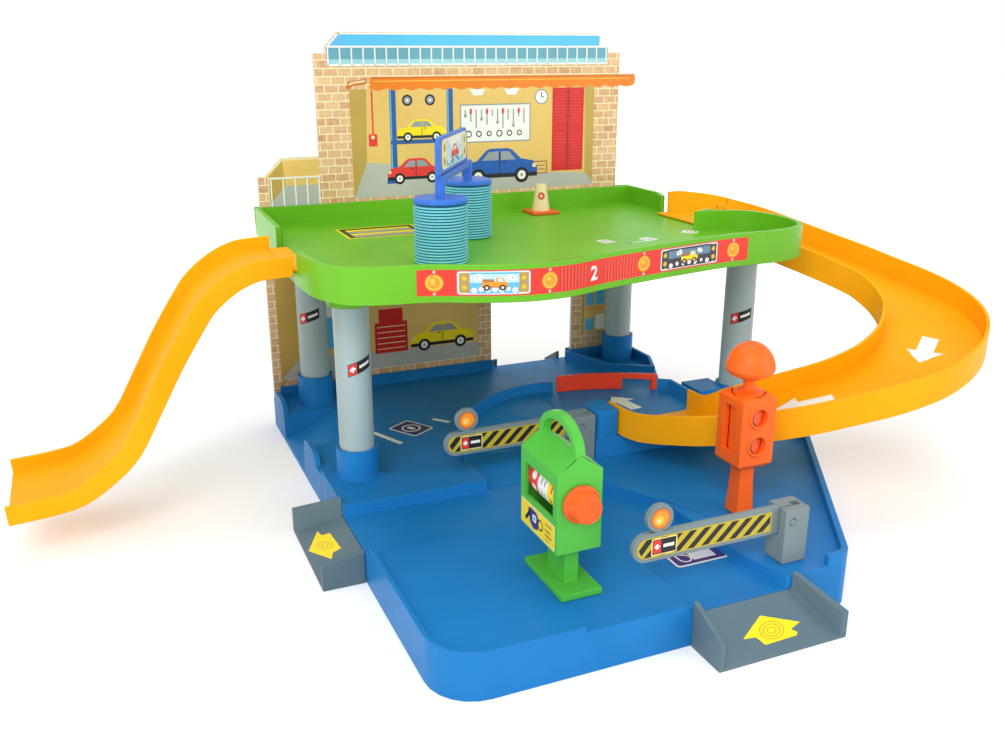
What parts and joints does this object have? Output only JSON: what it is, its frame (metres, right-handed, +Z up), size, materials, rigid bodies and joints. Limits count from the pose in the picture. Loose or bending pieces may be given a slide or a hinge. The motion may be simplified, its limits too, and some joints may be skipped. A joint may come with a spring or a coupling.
{
  "type": "toy parking garage",
  "caption": "Two-level toy parking garage with slide, winding ramp, access ramps, lifting barriers, fuel pump, traffic light and car wash.",
  "frame": {"origin": "on the table, under the middle of the whole toy's bounding box", "axes": "+X runs right along the printed back card, +Y runs to the back, +Z is up"},
  "size_m": [0.676, 0.483, 0.322],
  "materials": {
    "blue_plastic": "smooth gloss with light handling marks",
    "green_plastic": "smooth gloss",
    "yellow_plastic": "smooth gloss",
    "grey_plastic": "satin",
    "dark_grey_plastic": "satin",
    "red_plastic": "smooth gloss",
    "orange_plastic": "smooth gloss",
    "white_plastic": "smooth gloss",
    "light_blue_plastic": "satin",
    "printed_card": "laminated printed board"
  },
  "bodies": {
    "garage": {"barrier_front_pin": "grey_plastic", "barrier_front_post": "grey_plastic", "barrier_rear_pin": "grey_plastic", "barrier_rear_post": "grey_plastic", "base_front": "blue_plastic", "base_lane": "blue_plastic", "base_rear": "blue_plastic", "card_lower_left": "printed_card", "card_lower_right": "printed_card", "card_upper": "printed_card", "column_front_left": "grey_plastic", "column_rear_left": "grey_plastic", "column_rear_right": "grey_plastic", "column_right": "grey_plastic", "curved_ramp": "yellow_plastic", "deck": "green_plastic", "guard": "red_plastic", "pump_case": "green_plastic", "pump_cover": "green_plastic", "pump_stand": "green_plastic", "ramp_left": "dark_grey_plastic", "ramp_rear": "dark_grey_plastic", "ramp_right": "dark_grey_plastic", "road_cone": "orange_plastic", "slide": "yellow_plastic", "traffic_head": "orange_plastic", "traffic_post": "orange_plastic", "wash_frame": "blue_plastic", "wash_sign": "blue_plastic"},
    "front_boom": {"barrier_front_boom": "grey_plastic"},
    "rear_boom": {"barrier_rear_boom": "grey_plastic"},
    "front_brush": {"wash_brush_front": "light_blue_plastic"},
    "rear_brush": {"wash_brush_rear": "light_blue_plastic"},
    "price_drum": {"pump_drum": "white_plastic", "pump_knob": "orange_plastic"},
    "lamp_drum": {"traffic_drum": "white_plastic", "traffic_dome": "orange_plastic"}
  },
  "joints": [
    {"name": "front_boom_lift", "type": "hinge", "parent": "garage", "child": "front_boom", "pos_m": [0.07689, -0.195, 0.0545], "axis": [0, 1, 0], "range_deg": [0, 85]},
    {"name": "rear_boom_lift", "type": "hinge", "parent": "garage", "child": "rear_boom", "pos_m": [0.03464, -0.0185, 0.0545], "axis": [0, 1, 0], "range_deg": [0, 85]},
    {"name": "front_brush_spin", "type": "hinge", "parent": "garage", "child": "front_brush", "pos_m": [-0.05136, 0.0205, 0.19], "axis": [0, 0, 1], "continuous": true},
    {"name": "rear_brush_spin", "type": "hinge", "parent": "garage", "child": "rear_brush", "pos_m": [0.00014, 0.1025, 0.19], "axis": [0, 0, 1], "continuous": true},
    {"name": "price_drum_turn", "type": "hinge", "parent": "garage", "child": "price_drum", "pos_m": [-0.04636, -0.1605, 0.079], "axis": [0, 1, 0], "continuous": true},
    {"name": "lamp_drum_turn", "type": "hinge", "parent": "garage", "child": "lamp_drum", "pos_m": [0.09114, -0.1355, 0.1], "axis": [0, 0, 1], "continuous": true}
  ]
}
